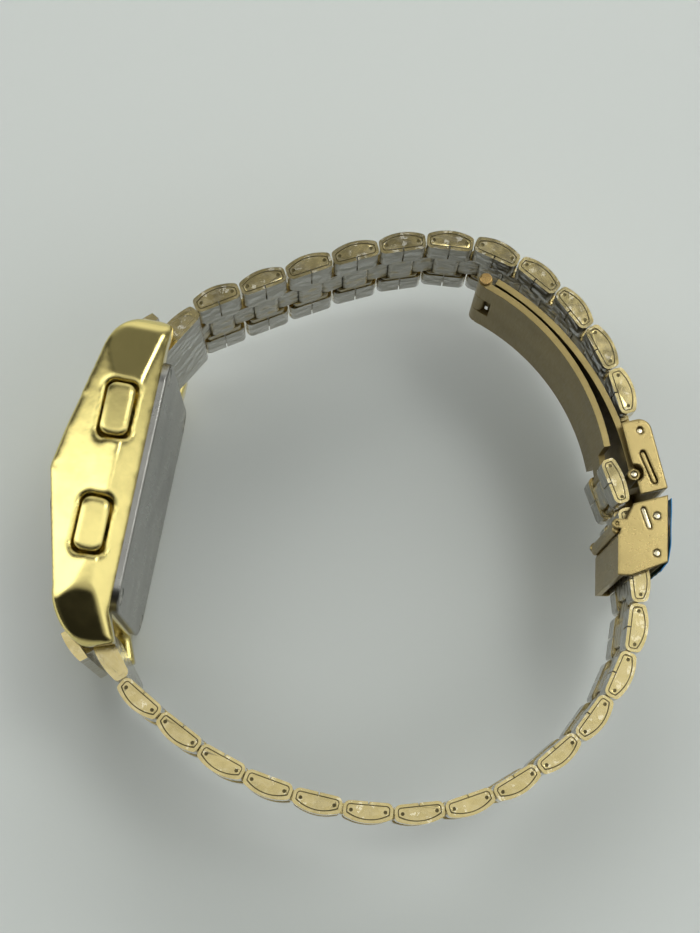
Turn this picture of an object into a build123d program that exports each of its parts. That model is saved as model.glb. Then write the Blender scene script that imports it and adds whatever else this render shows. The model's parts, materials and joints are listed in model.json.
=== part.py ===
"""A gold-plated LED wristwatch with a closed link bracelet and a folding clasp.

The frame: the origin is the centre of the case back's flat outer face, +X points out of the case
back into the wrist loop, +Y towards 12 o'clock and +Z towards 3 o'clock, the pusher side. The watch
lies on its 9 o'clock side, so +Z is up. Every link hinge runs along Z. Lengths are in millimetres.
"""

from build123d import *
import math
import os

import numpy as np

# Case
case_length = 39.8
case_width = 31.0
case_height = 10.4
back_rise = 0.9
lug_end_width = 27.5
crease_half_width = 15.0
crease_share = 0.842
tail_half_width = 13.2
case_corner = 2.4
back_facet = 1.7
top_facet = 2.1
ridge_share = 0.26
lug_drop_share = 0.13
overrun = 2.0

# Case side outline, as shares of the length from the 12 o'clock end and of the height over the back edge
start_shares = [(0.015, -0.02), (0.004, 0.33), (0.098, 0.68)]
crown_shares = [(0.098, 0.68), (0.281, 0.837), (0.378, 0.923), (0.496, 1.0), (0.84, 0.664)]
end_shares = [(0.84, 0.664), (0.945, 0.505), (1.0, 0.207)]
heel_shares = [(1.0, 0.207), (0.97, -0.13), (0.885, 0.0), (0.075, 0.0), (0.015, -0.02)]

# Case inside and back
cavity_length = 26.4
cavity_width = 23.6
cavity_depth = 5.4
cavity_corner = 4.0
back_length = 30.4
back_width = 27.4
back_corner = 3.0
back_lip = 0.6
back_lip_height = 0.7
seal_width = 0.9
seal_height = 0.35
fit = 0.05
screw_shank = 0.5
screw_head = 1.0
screw_head_height = 0.45
screw_inset = 1.85
screw_depth = 2.2
screw_slot = 0.3

# Window and display
window_along = 13.6
window_across = 20.5
window_corner = 2.0
window_ledge = 0.9
window_depth = 1.0
window_proud = 0.5
window_place_share = 0.66
window_seal = 0.3
display_along = 7.0
display_across = 15.0
display_drop = 0.9
digit_height = 3.4
digit_width = 1.9
digit_stroke = 0.32
digit_rise = 0.15
digit_pitch = 3.1
colon_gap = 1.3

# Module
holder_gap = 0.4
holder_wall = 1.0
holder_floor = 0.4
holder_height = 4.0
holder_notch = 1.9
holder_notch_half = 1.6
board_thick = 0.6
board_gap = 0.5
cell_radius = 4.8
cell_height = 1.9
cell_spread = 5.1
cell_level = 5.5
strap_thick = 0.2
strap_width = 3.0
strap_length = 21.0

# Pushers
pusher_length = 6.3
pusher_height = 3.3
pusher_corner = 1.1
pusher_sink = 0.05
pusher_head = 1.0
pusher_travel = 0.7
pusher_clear = 0.3
pusher_level = 3.8
pusher_upper_share = 0.305
pusher_lower_share = 0.652
pusher_stop = 0.45
well_radius = 1.5
well_depth = 0.5
stem_radius = 0.7
clip_radius = 1.2
clip_thick = 0.35
clip_inset = 0.3
stem_end = 0.9
spring_wire = 0.12
spring_radius = 1.1
spring_turns = 3

# Bracelet
pitch = 6.0
link_length = 5.8
link_in = 1.1
link_crown = 1.4
link_end_out = 0.7
link_in_round = 0.8
link_out_round = 0.55
link_pin_inset = 0.9
band_width_case = 18.6
band_width_clasp = 14.6
taper_links = 6
outer_row_share = 0.27
row_gap = 0.12
link_pin_radius = 0.4
pin_fit = 0.04
pin_cover = 0.9
pin_mark_radius = 0.22
eye_radius = 0.65
eye_gap = 0.1
eye_half = 2.7
centre_sink = 0.15
body_start = 0.15
body_foot = 1.15
ear_start = 0.6
open_gap = 0.9
ladder_in = 1.0
ladder_crown = 1.1
ladder_trim = 0.3
last_trim = 0.15
groove_inset = 0.36
groove_width = 0.12
groove_depth = 0.1
seam_width = 0.16
seam_depth = 0.5
hinge_pin_gap = 0.03

# End links and spring bars
lug_pin_back = 1.4
lug_pin_inset = 2.5
end_link_pitch = 7.5
end_link_width = 20.8
end_link_gap = 0.2
end_link_web = 14.0
web_start = 0.7
web_end = 1.5
notch_wall = 1.95
bar_radius = 0.65
bar_tip_radius = 0.45
bar_tip_length = 1.3
bar_gap = 0.1
hood_start = 1.5
hood_rise = 3.8
hood_crown = 3.85
hood_end = 2.48
hood_end_rise = 3.29
hood_thick = 1.0

# Chains, as the turn from each link to the next in degrees, from the lug to the clasp
end_link_droop = 30.0
upper_turns = [27, 1, 2, 4, 7, 14.5, 19.5, 15, 13, 11, 10]
lower_droop = 39.0
lower_turns = [21, 3, 9, 8.5, 6.5, 8.5, 10.5, 13, 12, 9, 13, 12, 16, 14]
box_link_pitch = 7.6
box_turn = 3.0

# Clasp box, in its own frame: u along the clasp from the box pin, v outwards
clasp_width = 18.0
clasp_wall = 0.7
box_top = 1.4
box_end = 7.6
box_out = 1.4
box_in = 1.9
box_round = 1.5
box_notch = 0.8
box_notch_gap = 0.3
box_pin_sunk = 0.3
knuckle_along = 4.9
knuckle_in = 1.9
knuckle_radius = 0.75
knuckle_gap = 0.28
lug_half = 2.6
leaf_pin_radius = 0.4

# Buttons of the clasp box
button_along = 4.6
button_in = 0.15
button_length = 4.4
button_width = 0.8
button_slant = 8.0
button_gap = 0.12
button_sunk = 0.15
button_flange = 0.15
button_flange_thick = 0.5

# Slide shell, placed from the clasp box: u along the clasp, v outwards, at the second ladder joint
slide_along = 13.1
slide_in = 3.95
slide_turn = 15.5
ladder_turn = 7.5
ladder_bend = 7.0
last_bend = 7.0
slide_top_in = 4.7
slide_top_out = 5.9
slide_plate_back = 1.1
slide_bottom_out = 2.2
slide_bottom_in = 4.0
slide_out = 3.7
slide_in_wall = 2.2
slide_lip = 0.9
slide_shoulder = 0.4
slide_heel = 0.6
slide_pin_radius = 0.42
slide_pin_out = 2.4
slide_pin_top = 3.3
slide_pin_bottom = 1.2
slot_length = 2.8
slot_width = 0.65
slot_slant = 20.0
slot_along = 3.0
slot_out = 1.15
catch_along = 2.2
catch_in = 2.35
catch_radius = 0.45
catch_reach = 0.65
catch_ear = 0.6
catch_pin_radius = 0.2
catch_side_gap = 0.15
film_thick = 0.15
film_margin = 0.3
film_tail = 1.1
film_tail_drop = 0.9

# Folding leaves
leaf_thick = 0.8
leaf_width = 14.6
leaf_spacing = 0.6
leaf_barrel = 0.88
leaf_barrel_gap = 0.15
leaf_pin_out = 4.5
leaf_pin_along = 0.8
leaf_mid_out = 3.35
leaf_pin_head = 0.75
leaf_pin_head_thick = 0.5
leaf_start = 1.5
leaf_tip = 2.4
leaf_third_share = 0.17
leaf_pin_side_gap = 0.05
knuckle_half = 8.1
leaf_joint = 6
leaf_mid_joint = 9


os.makedirs("parts", exist_ok=True)


def export(builder, label):
    """Label a finished builder's part and write it to parts."""
    builder.part.label = label
    export_step(builder.part, f"parts/{label}.step")


def along(angle, length=1.0):
    """The vector of a length at an angle in degrees."""
    return np.array([math.cos(math.radians(angle)), math.sin(math.radians(angle))]) * length


def joint_plane(point, angle, height=0.0):
    """A plane at a point of the XY plane, with its x at an angle and its normal along +Z."""
    direction = along(angle)
    return Plane(
        origin=(float(point[0]), float(point[1]), height),
        x_dir=(float(direction[0]), float(direction[1]), 0),
        z_dir=(0, 0, 1),
    )


def in_frame(origin, angle, u, v):
    """The point u along an angle and v to its left."""
    return origin + along(angle, u) + along(angle + 90, v)


# The chains

lug_x = -back_rise - lug_pin_back
lug_y = case_length / 2 - lug_pin_inset
lug_upper = np.array([lug_x, lug_y])
lug_lower = np.array([lug_x, -lug_y])


def run_chain(start, first_angle, turns, sign, factor, pitches):
    """Joint points and headings of a chain, link by link."""
    points, headings = [start], [first_angle]
    for turn in turns:
        headings.append(headings[-1] + sign * factor * turn)
    for heading, length in zip(headings, pitches):
        points.append(points[-1] + along(heading, length))
    return points, headings


upper_pitches = [end_link_pitch] + [pitch] * (len(upper_turns) - 1) + [box_link_pitch]
lower_pitches = [end_link_pitch] + [pitch] * len(lower_turns)


def layout(upper_factor, lower_factor, extra_droop):
    """Both chains and the clasp box's place, for three trial values."""
    upper = run_chain(
        lug_upper, 90 - end_link_droop - extra_droop, upper_turns, -1, upper_factor, upper_pitches
    )
    lower = run_chain(
        lug_lower, lower_droop + extra_droop - 90, lower_turns, 1, lower_factor, lower_pitches
    )
    box_angle = upper[1][-1] - box_turn
    slide_point = in_frame(upper[0][-1], box_angle, slide_along, -slide_in)
    return upper, lower, box_angle, slide_point


def misfit(values):
    """How far the lower chain's ladder is from its place in the clasp: x, y and heading."""
    upper, lower, box_angle, slide_point = layout(*values)
    wanted = box_angle - slide_turn + 180 + ladder_turn
    offset = lower[0][-1] - slide_point
    return np.array([offset[0], offset[1], math.radians(lower[1][-1] - wanted) * pitch])


def close_band():
    """Newton's method on both curl factors and the droop, so that the closed band meets in the clasp."""
    values = np.array([1.0, 1.0, 0.0])
    steps = np.array([0.001, 0.001, 0.01])
    for _ in range(12):
        error = misfit(values)
        columns = [(misfit(values + step) - error) / step.max() for step in np.diag(steps)]
        values = values - np.linalg.solve(np.array(columns).T, error)
    return values


band_values = close_band()
print("curl factors and droop:", [round(float(v), 4) for v in band_values])
print("closing error:", float(np.abs(misfit(band_values)).max()))
upper_chain, lower_chain, box_angle, slide_point = layout(*band_values)
upper_points, upper_headings = upper_chain
lower_points, lower_headings = lower_chain
slide_angle = box_angle - slide_turn
ladder_angle = lower_headings[-1] + ladder_bend
last_angle = ladder_angle + last_bend
ladder_point = slide_point + along(ladder_angle, pitch)
box_point = upper_points[-1]
knuckle_point = in_frame(box_point, box_angle, knuckle_along, -knuckle_in)
far_inset = link_length - 2 * link_pin_inset
last_pin_point = ladder_point + along(last_angle, far_inset)
leaf_heading = upper_headings[leaf_joint]
leaf_point = in_frame(upper_points[leaf_joint + 1], leaf_heading, leaf_pin_along, -leaf_pin_out)


# Case

case_top = -back_rise - case_height


def outline_point(share):
    """A point of the case's side outline from its shares."""
    return (-back_rise - share[1] * case_height, case_length / 2 - share[0] * case_length)


ridge_x = -back_rise - ridge_share * case_height
heel_x = -back_rise + lug_drop_share * case_height
peak = Vector(*outline_point(crown_shares[3]))
brow = Vector(*outline_point(crown_shares[4]))
slope = (brow - peak).normalized()
window_origin = peak + (brow - peak) * window_place_share
window_plane = Plane(
    origin=(window_origin.X, window_origin.Y, 0),
    x_dir=(slope.X, slope.Y, 0),
    z_dir=(slope.Y, -slope.X, 0),
)
pocket_depth = pusher_sink + pusher_head + pusher_travel + pusher_stop
pusher_floor = case_width / 2 - pocket_depth
pusher_places = [
    (-back_rise - pusher_level, case_length / 2 - share * case_length)
    for share in (pusher_upper_share, pusher_lower_share)
]
screw_x = back_length / 2 - screw_inset
screw_y = back_width / 2 - screw_inset
screw_places = [(x, y) for x in (-screw_x, screw_x) for y in (-screw_y, screw_y)]
half = case_length / 2
end_half = lug_end_width / 2
crease_y = half - crease_share * case_length
widest_y = (half + crease_y) / 2
notch_half = end_link_width / 2 + end_link_gap
notch_depth = lug_pin_inset + notch_wall

with BuildPart() as case_body:
    with BuildSketch(Plane.XY.offset(-case_width / 2)):
        with BuildLine():
            ThreePointArc(*[outline_point(s) for s in start_shares])
            Polyline(*[outline_point(s) for s in crown_shares])
            ThreePointArc(*[outline_point(s) for s in end_shares])
            Polyline(*[outline_point(s) for s in heel_shares])
        make_face()
    extrude(amount=case_width)
    with BuildSketch(Plane.XZ):
        with BuildLine():
            Polyline(
                (heel_x + overrun, case_width / 2 - back_facet - overrun),
                (-back_rise, case_width / 2 - back_facet),
                (ridge_x, case_width / 2),
                (case_top, case_width / 2 - top_facet),
                (case_top, top_facet - case_width / 2),
                (ridge_x, -case_width / 2),
                (-back_rise, back_facet - case_width / 2),
                (heel_x + overrun, back_facet + overrun - case_width / 2),
                close=True,
            )
        make_face()
    extrude(amount=case_length, both=True, mode=Mode.INTERSECT)
    with BuildSketch(Plane.YZ) as plan:
        with BuildLine():
            for side in (-1, 1):
                Line((-half, side * tail_half_width), (crease_y, side * crease_half_width))
                ThreePointArc(
                    (crease_y, side * crease_half_width), (widest_y, side * case_width / 2), (half, side * end_half)
                )
            Line((half, end_half), (half, -end_half))
            Line((-half, -tail_half_width), (-half, tail_half_width))
        make_face()
        fillet(plan.vertices().filter_by(lambda v: abs(v.X) > half - fit), case_corner)
    extrude(amount=case_height * 2, both=True, mode=Mode.INTERSECT)
    with BuildSketch(Plane.YZ):
        for side in (-1, 1):
            with Locations((side * (half + (overrun - notch_depth) / 2), 0)):
                Rectangle(notch_depth + overrun, 2 * notch_half)
    extrude(amount=case_height * 2, both=True, mode=Mode.SUBTRACT)
    with BuildSketch(Plane.YZ.offset(-back_rise)):
        RectangleRounded(cavity_length, cavity_width, cavity_corner)
    extrude(amount=-cavity_depth, mode=Mode.SUBTRACT)
    with BuildSketch(Plane.YZ.offset(-back_rise)):
        with Locations(*screw_places):
            Circle(screw_shank + pin_fit)
    extrude(amount=-screw_depth - fit, mode=Mode.SUBTRACT)
    with BuildSketch(window_plane.offset(-window_depth)):
        RectangleRounded(window_along + 2 * fit, window_across + 2 * fit, window_corner)
    extrude(amount=window_depth + overrun, mode=Mode.SUBTRACT)
    with BuildSketch(window_plane.offset(-window_depth)):
        RectangleRounded(window_along - 2 * window_ledge, window_across - 2 * window_ledge, window_corner)
    extrude(amount=-cavity_depth, mode=Mode.SUBTRACT)
    for x, y in pusher_places:
        with BuildSketch(Plane((x, y, pusher_floor))):
            RectangleRounded(
                pusher_height + 2 * pusher_clear, pusher_length + 2 * pusher_clear, pusher_corner
            )
        extrude(amount=pocket_depth + overrun, mode=Mode.SUBTRACT)
        with BuildSketch(Plane((x, y, pusher_floor - well_depth))):
            Circle(well_radius)
        extrude(amount=well_depth, mode=Mode.SUBTRACT)
        with BuildSketch(Plane((x, y, 0))):
            Circle(stem_radius + fit)
        extrude(amount=pusher_floor, mode=Mode.SUBTRACT)
    with BuildSketch(Plane.XY):
        with Locations(tuple(lug_upper), tuple(lug_lower)):
            Circle(bar_tip_radius + pin_fit)
    extrude(amount=notch_half + bar_tip_length + fit, both=True, mode=Mode.SUBTRACT)
export(case_body, "case_body")

with BuildPart() as case_back:
    with BuildSketch(Plane.YZ.offset(-back_rise)):
        RectangleRounded(back_length, back_width, back_corner)
    extrude(amount=back_rise)
    fillet(case_back.faces().sort_by(Axis.X)[-1].edges(), back_rise / 3)
    with BuildSketch(Plane.YZ.offset(-back_rise)):
        RectangleRounded(cavity_length - 2 * fit, cavity_width - 2 * fit, cavity_corner - fit)
        RectangleRounded(
            cavity_length - 2 * (fit + back_lip),
            cavity_width - 2 * (fit + back_lip),
            cavity_corner - fit - back_lip,
            mode=Mode.SUBTRACT,
        )
    extrude(amount=-back_lip_height)
    with BuildSketch(Plane.YZ):
        with Locations(*screw_places):
            Circle(screw_head + fit)
    extrude(amount=-screw_head_height - fit, mode=Mode.SUBTRACT)
    with BuildSketch(Plane.YZ):
        with Locations(*screw_places):
            Circle(screw_shank + fit)
    extrude(amount=-back_rise, mode=Mode.SUBTRACT)
export(case_back, "case_back")

with BuildPart() as case_back_screws:
    with BuildSketch(Plane.YZ.offset(-fit)):
        with Locations(*screw_places):
            Circle(screw_head)
    extrude(amount=-screw_head_height)
    with BuildSketch(Plane.YZ.offset(-fit - screw_head_height)):
        with Locations(*screw_places):
            Circle(screw_shank)
    extrude(amount=fit + screw_head_height - back_rise - screw_depth)
    with BuildSketch(Plane.YZ.offset(-fit)):
        with Locations(*screw_places):
            Rectangle(2 * screw_head, screw_slot)
    extrude(amount=-screw_head_height / 2, mode=Mode.SUBTRACT)
export(case_back_screws, "case_back_screws")

gasket_face = -back_rise - back_lip_height - fit
with BuildPart() as case_back_gasket:
    with BuildSketch(Plane.YZ.offset(gasket_face)):
        RectangleRounded(cavity_length - 2 * fit, cavity_width - 2 * fit, cavity_corner - fit)
        RectangleRounded(
            cavity_length - 2 * (fit + seal_width),
            cavity_width - 2 * (fit + seal_width),
            cavity_corner - fit - seal_width,
            mode=Mode.SUBTRACT,
        )
    extrude(amount=-seal_height)
export(case_back_gasket, "case_back_gasket")

# Window and display

with BuildPart() as window_gasket:
    with BuildSketch(window_plane.offset(-window_depth)):
        RectangleRounded(window_along, window_across, window_corner)
        RectangleRounded(
            window_along - 2 * window_ledge,
            window_across - 2 * window_ledge,
            window_corner,
            mode=Mode.SUBTRACT,
        )
    extrude(amount=window_seal)
export(window_gasket, "window_gasket")

with BuildPart() as display_window:
    with BuildSketch(window_plane.offset(window_seal - window_depth)):
        RectangleRounded(window_along, window_across, window_corner)
    extrude(amount=window_depth - window_seal + window_proud)
export(display_window, "display_window")


display_face = -window_depth - display_drop
holder_back = gasket_face - seal_height - fit
board_back = holder_back - cell_height - 2 * fit - holder_floor - fit
board_front = board_back - board_thick
cell_places = [(cell_level, side * cell_spread) for side in (-1, 1)]

with BuildPart() as display_block:
    with BuildSketch(Plane.XY.offset(-display_across / 2)):
        with BuildLine():
            face_start = window_plane.from_local_coords((-display_along / 2, 0, display_face))
            face_end = window_plane.from_local_coords((display_along / 2, 0, display_face))
            Polyline(
                (face_start.X, face_start.Y),
                (face_end.X, face_end.Y),
                (board_front - fit, face_end.Y),
                (board_front - fit, face_start.Y),
                close=True,
            )
        make_face()
    extrude(amount=display_across)
export(display_block, "display_block")

lit_segments = {
    "1": ["upper right", "lower right"],
    "0": ["top", "bottom", "upper left", "upper right", "lower left", "lower right"],
    "8": ["top", "middle", "bottom", "upper left", "upper right", "lower left", "lower right"],
}
segment_levels = {"top": 1, "middle": 0, "bottom": -1}


def segment_box(name):
    """A segment's place from its digit's centre, towards 12 and towards 3 o'clock, and its two sizes."""
    if name in segment_levels:
        return segment_levels[name] * digit_height / 2, 0, digit_stroke, digit_width - 3 * digit_stroke
    up = 1 if name.startswith("upper") else -1
    right = 1 if name.endswith("right") else -1
    across = right * (digit_width - digit_stroke) / 2
    return up * digit_height / 4, across, digit_height / 2 - 2 * digit_stroke, digit_stroke


digit_shares = [-1.5, -0.5, 0.5, 1.5]
with BuildPart() as led_digits:
    with BuildSketch(window_plane.offset(display_face + pin_fit)):
        for digit, share in zip("1008", digit_shares):
            centre = share * digit_pitch + math.copysign(colon_gap / 2, share)
            for name in lit_segments[digit]:
                up, across, tall, wide = segment_box(name)
                with Locations((-up, centre + across)):
                    Rectangle(tall, wide)
        with Locations((-digit_height / 4, 0), (digit_height / 4, 0)):
            Rectangle(digit_stroke, digit_stroke)
    extrude(amount=digit_rise)
export(led_digits, "led_digits")

# Module

holder_length = cavity_length - 2 * holder_gap
holder_width = cavity_width - 2 * holder_gap
holder_corner = cavity_corner - holder_gap
with BuildPart() as module_holder:
    with BuildSketch(Plane.YZ.offset(holder_back)):
        RectangleRounded(holder_length, holder_width, holder_corner)
    extrude(amount=-holder_height)
    with BuildSketch(Plane.YZ.offset(board_back + fit)):
        RectangleRounded(
            holder_length - 2 * holder_wall, holder_width - 2 * holder_wall, holder_corner - holder_wall
        )
    extrude(amount=-holder_height, mode=Mode.SUBTRACT)
    with BuildSketch(Plane.YZ.offset(holder_back)):
        with Locations(*cell_places):
            Circle(cell_radius + fit)
    extrude(amount=-cell_height - 2 * fit, mode=Mode.SUBTRACT)
    with BuildSketch(Plane.YZ.offset(holder_back)):
        for x, y in pusher_places:
            with Locations((y, holder_width / 2)):
                Rectangle(2 * holder_notch_half, 2 * holder_notch)
    extrude(amount=-holder_height, mode=Mode.SUBTRACT)
export(module_holder, "module_holder")

with BuildPart() as circuit_board:
    with BuildSketch(Plane.YZ.offset(board_back)):
        RectangleRounded(
            holder_length - 2 * (holder_wall + board_gap),
            holder_width - 2 * (holder_wall + board_gap),
            holder_corner - holder_wall - board_gap,
        )
    extrude(amount=-board_thick)
export(circuit_board, "circuit_board")

with BuildPart() as battery_cells:
    with BuildSketch(Plane.YZ.offset(holder_back - fit)):
        with Locations(*cell_places):
            Circle(cell_radius)
    extrude(amount=-cell_height)
    fillet(battery_cells.faces().sort_by(Axis.X)[0].edges(), strap_thick)
    fillet(battery_cells.faces().sort_by(Axis.X)[-1].edges(), strap_thick)
export(battery_cells, "battery_cells")

with BuildPart() as battery_strap:
    with BuildSketch(Plane.YZ.offset(holder_back)):
        with Locations((cell_level, 0)):
            RectangleRounded(strap_width, strap_length, strap_width / 3)
    extrude(amount=strap_thick)
export(battery_strap, "battery_strap")

# Pushers

pusher_top = case_width / 2 - pusher_sink
pusher_under = pusher_top - pusher_head
well_floor = pusher_floor - well_depth
cavity_wall = cavity_width / 2
for label, (x, y) in zip(("upper", "lower"), pusher_places):
    with BuildPart() as pusher:
        with BuildSketch(Plane((x, y, pusher_under))):
            RectangleRounded(pusher_height, pusher_length, pusher_corner)
        extrude(amount=pusher_head)
        fillet(pusher.faces().sort_by(Axis.Z)[-1].edges(), pusher_head / 3)
        with BuildSketch(Plane((x, y, cavity_wall - stem_end))):
            Circle(stem_radius)
        extrude(amount=pusher_under - cavity_wall + stem_end)
        with BuildSketch(Plane((x, y, cavity_wall - clip_inset - clip_thick))):
            Circle(clip_radius)
            Circle(stem_radius + pin_fit, mode=Mode.SUBTRACT)
        extrude(amount=clip_thick)
    export(pusher, f"pusher_{label}")
    spring_height = pusher_under - well_floor - 2 * spring_wire - 2 * fit
    with BuildPart() as spring:
        with BuildLine(Plane((x, y, well_floor + spring_wire + fit))):
            coil = Helix(spring_height / spring_turns, spring_height, spring_radius)
        with BuildSketch(Plane(origin=coil @ 0, z_dir=coil % 0)):
            Circle(spring_wire)
        sweep()
    export(spring, f"pusher_spring_{label}")

# Spring bars

with BuildPart() as spring_bars:
    with BuildSketch(Plane.XY):
        with Locations(tuple(lug_upper), tuple(lug_lower)):
            Circle(bar_radius)
    extrude(amount=end_link_width / 2, both=True)
    with BuildSketch(Plane.XY):
        with Locations(tuple(lug_upper), tuple(lug_lower)):
            Circle(bar_tip_radius)
    extrude(amount=notch_half + bar_tip_length - fit, both=True)
export(spring_bars, "spring_bars")

# Bracelet links


def link_width(number):
    """The band's width at a link, tapering over the first links from the lug."""
    share = min(1, (number - 1) / (taper_links - 1))
    return band_width_case + (band_width_clasp - band_width_case) * share


def middle_half(width):
    """Half the width of the middle row, between the outer rows."""
    return width * (1 / 2 - outer_row_share)


def draw_side(start, end, outward, inset=0.0, foot=link_end_out, levels=(link_in, link_crown)):
    """A link's side outline: flat inside, crowned outside and rounded at both ends."""
    low, high = start + inset, end - inset
    inner, outer, crown = inset - levels[0], foot - inset, levels[1] - inset
    with BuildSketch() as outline:
        with BuildLine():
            ThreePointArc((low, outward * outer), ((low + high) / 2, outward * crown), (high, outward * outer))
            Polyline(
                (high, outward * outer), (high, outward * inner), (low, outward * inner), (low, outward * outer)
            )
        make_face()
        fillet(outline.vertices().filter_by(lambda v: v.Y * outward < 0), link_in_round - inset)
        fillet(
            outline.vertices().filter_by(lambda v: abs(v.Y - outward * outer) < pin_fit),
            link_out_round - inset,
        )
    return outline.sketch


def add_row(plane, outline, low, high, mode=Mode.ADD):
    """A side outline made solid between two heights."""
    with BuildSketch(plane.offset(low)) as row:
        add(outline)
    extrude(row.sketch, amount=high - low, mode=mode)


def cut_slot(plane, place, side):
    """The slot in a middle row round a connector's eye, open to the near end (side -1) or the far end."""
    with BuildSketch(plane.offset(-eye_half - row_gap)) as slot:
        with Locations((place, 0)):
            Circle(eye_radius + eye_gap)
        with Locations((place + side * link_length / 2, 0)):
            Rectangle(link_length, 2 * (eye_radius + eye_gap))
    extrude(slot.sketch, amount=2 * (eye_half + row_gap), mode=Mode.SUBTRACT)


def add_pins(plane, width, places):
    """Blind pin holes across a link, the pins in them and a small mark over each pin end."""
    edge = width / 2
    for radius, length, mode in (
        (link_pin_radius + pin_fit, edge - pin_cover + pin_fit, Mode.SUBTRACT),
        (link_pin_radius, edge - pin_cover, Mode.ADD),
    ):
        with BuildSketch(plane.offset(-length)) as pins:
            with Locations(*[(place, 0) for place in places]):
                Circle(radius)
        extrude(pins.sketch, amount=2 * length, mode=mode)
    for level, depth in ((-edge, groove_depth), (edge, -groove_depth)):
        with BuildSketch(plane.offset(level)) as marks:
            with Locations(*[(place, 0) for place in places]):
                Circle(pin_mark_radius)
        extrude(marks.sketch, amount=depth, mode=Mode.SUBTRACT)


def cut_contour(plane, edge, wide, narrow):
    """The contour line sunk into both side faces of a link, between two side outlines."""
    for level, depth in ((-edge, groove_depth), (edge, -groove_depth)):
        with BuildSketch(plane.offset(level)) as contour:
            add(wide)
            add(narrow, mode=Mode.SUBTRACT)
        extrude(contour.sketch, amount=depth, mode=Mode.SUBTRACT)


def add_connector(plane, near, reach, open_end=False):
    """The bar from a link's far pin to the next link's first pin, or short of it."""
    far_end = reach - open_gap if open_end else reach + eye_radius
    near_end = near - eye_radius
    with BuildSketch(plane.offset(-eye_half)) as bar:
        with Locations(((near_end + far_end) / 2, 0)):
            SlotOverall(far_end - near_end, 2 * eye_radius)
        with Locations((near, 0)):
            Circle(link_pin_radius + pin_fit, mode=Mode.SUBTRACT)
        if not open_end:
            with Locations((reach, 0)):
                Circle(link_pin_radius + hinge_pin_gap, mode=Mode.SUBTRACT)
    extrude(bar.sketch, amount=2 * eye_half)


def make_link(
    label, point, angle, outward, width, reach=pitch, connector=True, open_end=False,
    trims=(0, 0), levels=(link_in, link_crown),
):
    """One link: two outer rows, a slotted middle row, two pins and the connector to the next link."""
    plane = joint_plane(point, angle)
    edge, middle, slotted = width / 2, middle_half(width), eye_half + row_gap
    near, far = trims[0] - link_pin_inset, far_inset + link_pin_inset - trims[1]
    foot = min(body_foot, levels[1] - pin_fit)
    row_side = draw_side(near, far, outward, levels=levels)
    ear_side = draw_side(-ear_start, far_inset + ear_start, outward, centre_sink, levels=levels)
    body_side = draw_side(body_start, far_inset - body_start, outward, centre_sink, foot, levels)
    groove_sides = [
        draw_side(near, far, outward, groove_inset + extra, levels=levels) for extra in (0, groove_width)
    ]
    with BuildPart() as link:
        for low, high in ((-edge, -middle), (middle, edge)):
            add_row(plane, row_side, low, high)
        with BuildSketch(plane.offset(-edge)):
            with Locations((far_inset / 2, outward * (seam_depth / 2 - levels[0]))):
                Rectangle(seam_width, seam_depth)
        extrude(amount=width, mode=Mode.SUBTRACT)
        cut_contour(plane, edge, *groove_sides)
        add_row(plane, body_side, row_gap - middle, middle - row_gap)
        cut_slot(plane, 0, -1)
        cut_slot(plane, far_inset, 1)
        for low, high in ((row_gap - middle, -slotted), (slotted, middle - row_gap)):
            add_row(plane, ear_side, low, high)
        add_pins(plane, width, (0, far_inset))
        if connector:
            add_connector(plane, far_inset, reach, open_end)
    export(link, label)


def make_end_link(label, point, angle, outward):
    """The end link between the lugs: a bar round the spring bar, and a hood on a web over its dial side."""
    plane = joint_plane(point, angle)
    far = end_link_pitch - (pitch - far_inset)
    tip = far + link_pin_inset
    edge, web_half, hood_half = band_width_case / 2, end_link_web / 2, end_link_width / 2
    bar_side = draw_side(-link_pin_inset, tip, outward)
    groove_sides = [
        draw_side(-link_pin_inset, tip, outward, groove_inset + extra) for extra in (0, groove_width)
    ]
    with BuildPart() as end_link:
        add_row(plane, bar_side, -edge, edge)
        cut_contour(plane, edge, *groove_sides)
        with BuildSketch(plane.offset(-web_half)):
            with Locations(((web_end - web_start) / 2, outward * (hood_end_rise - hood_thick / 2) / 2)):
                Rectangle(web_end + web_start, hood_end_rise - hood_thick / 2)
        extrude(amount=end_link_web)
        with BuildSketch(plane.offset(-hood_half)):
            with BuildLine():
                ThreePointArc(
                    (-hood_start, outward * hood_rise), (0, outward * hood_crown),
                    (hood_end, outward * hood_end_rise),
                )
                Polyline(
                    (hood_end, outward * hood_end_rise),
                    (hood_end, outward * (hood_end_rise - hood_thick)),
                    (-hood_start, outward * (hood_rise - hood_thick)),
                    (-hood_start, outward * hood_rise),
                )
            make_face()
        extrude(amount=end_link_width)
        with BuildSketch(plane.offset(-hood_half)):
            Circle(bar_radius + bar_gap)
        extrude(amount=end_link_width, mode=Mode.SUBTRACT)
        cut_slot(plane, far, 1)
        add_pins(plane, band_width_case, (far,))
        add_connector(plane, far, end_link_pitch)
    export(end_link, label)


make_end_link("end_link_12", upper_points[0], upper_headings[0], 1)
make_end_link("end_link_6", lower_points[0], lower_headings[0], -1)
for number in range(1, len(upper_headings)):
    make_link(
        f"upper_link_{number:02d}", upper_points[number], upper_headings[number], 1, link_width(number),
        reach=upper_pitches[number],
    )
for number in range(1, len(lower_headings)):
    make_link(
        f"lower_link_{number:02d}", lower_points[number], lower_headings[number], -1, link_width(number)
    )
ladder_number = len(lower_headings)
make_link(
    f"lower_link_{ladder_number:02d}", slide_point, ladder_angle, -1, band_width_clasp, open_end=True,
    trims=(0, ladder_trim), levels=(ladder_in, ladder_crown),
)
make_link(
    f"lower_link_{ladder_number + 1:02d}", ladder_point, last_angle, -1, band_width_clasp, connector=False,
    trims=(last_trim, 0), levels=(ladder_in, ladder_crown),
)

# Clasp box

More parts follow.
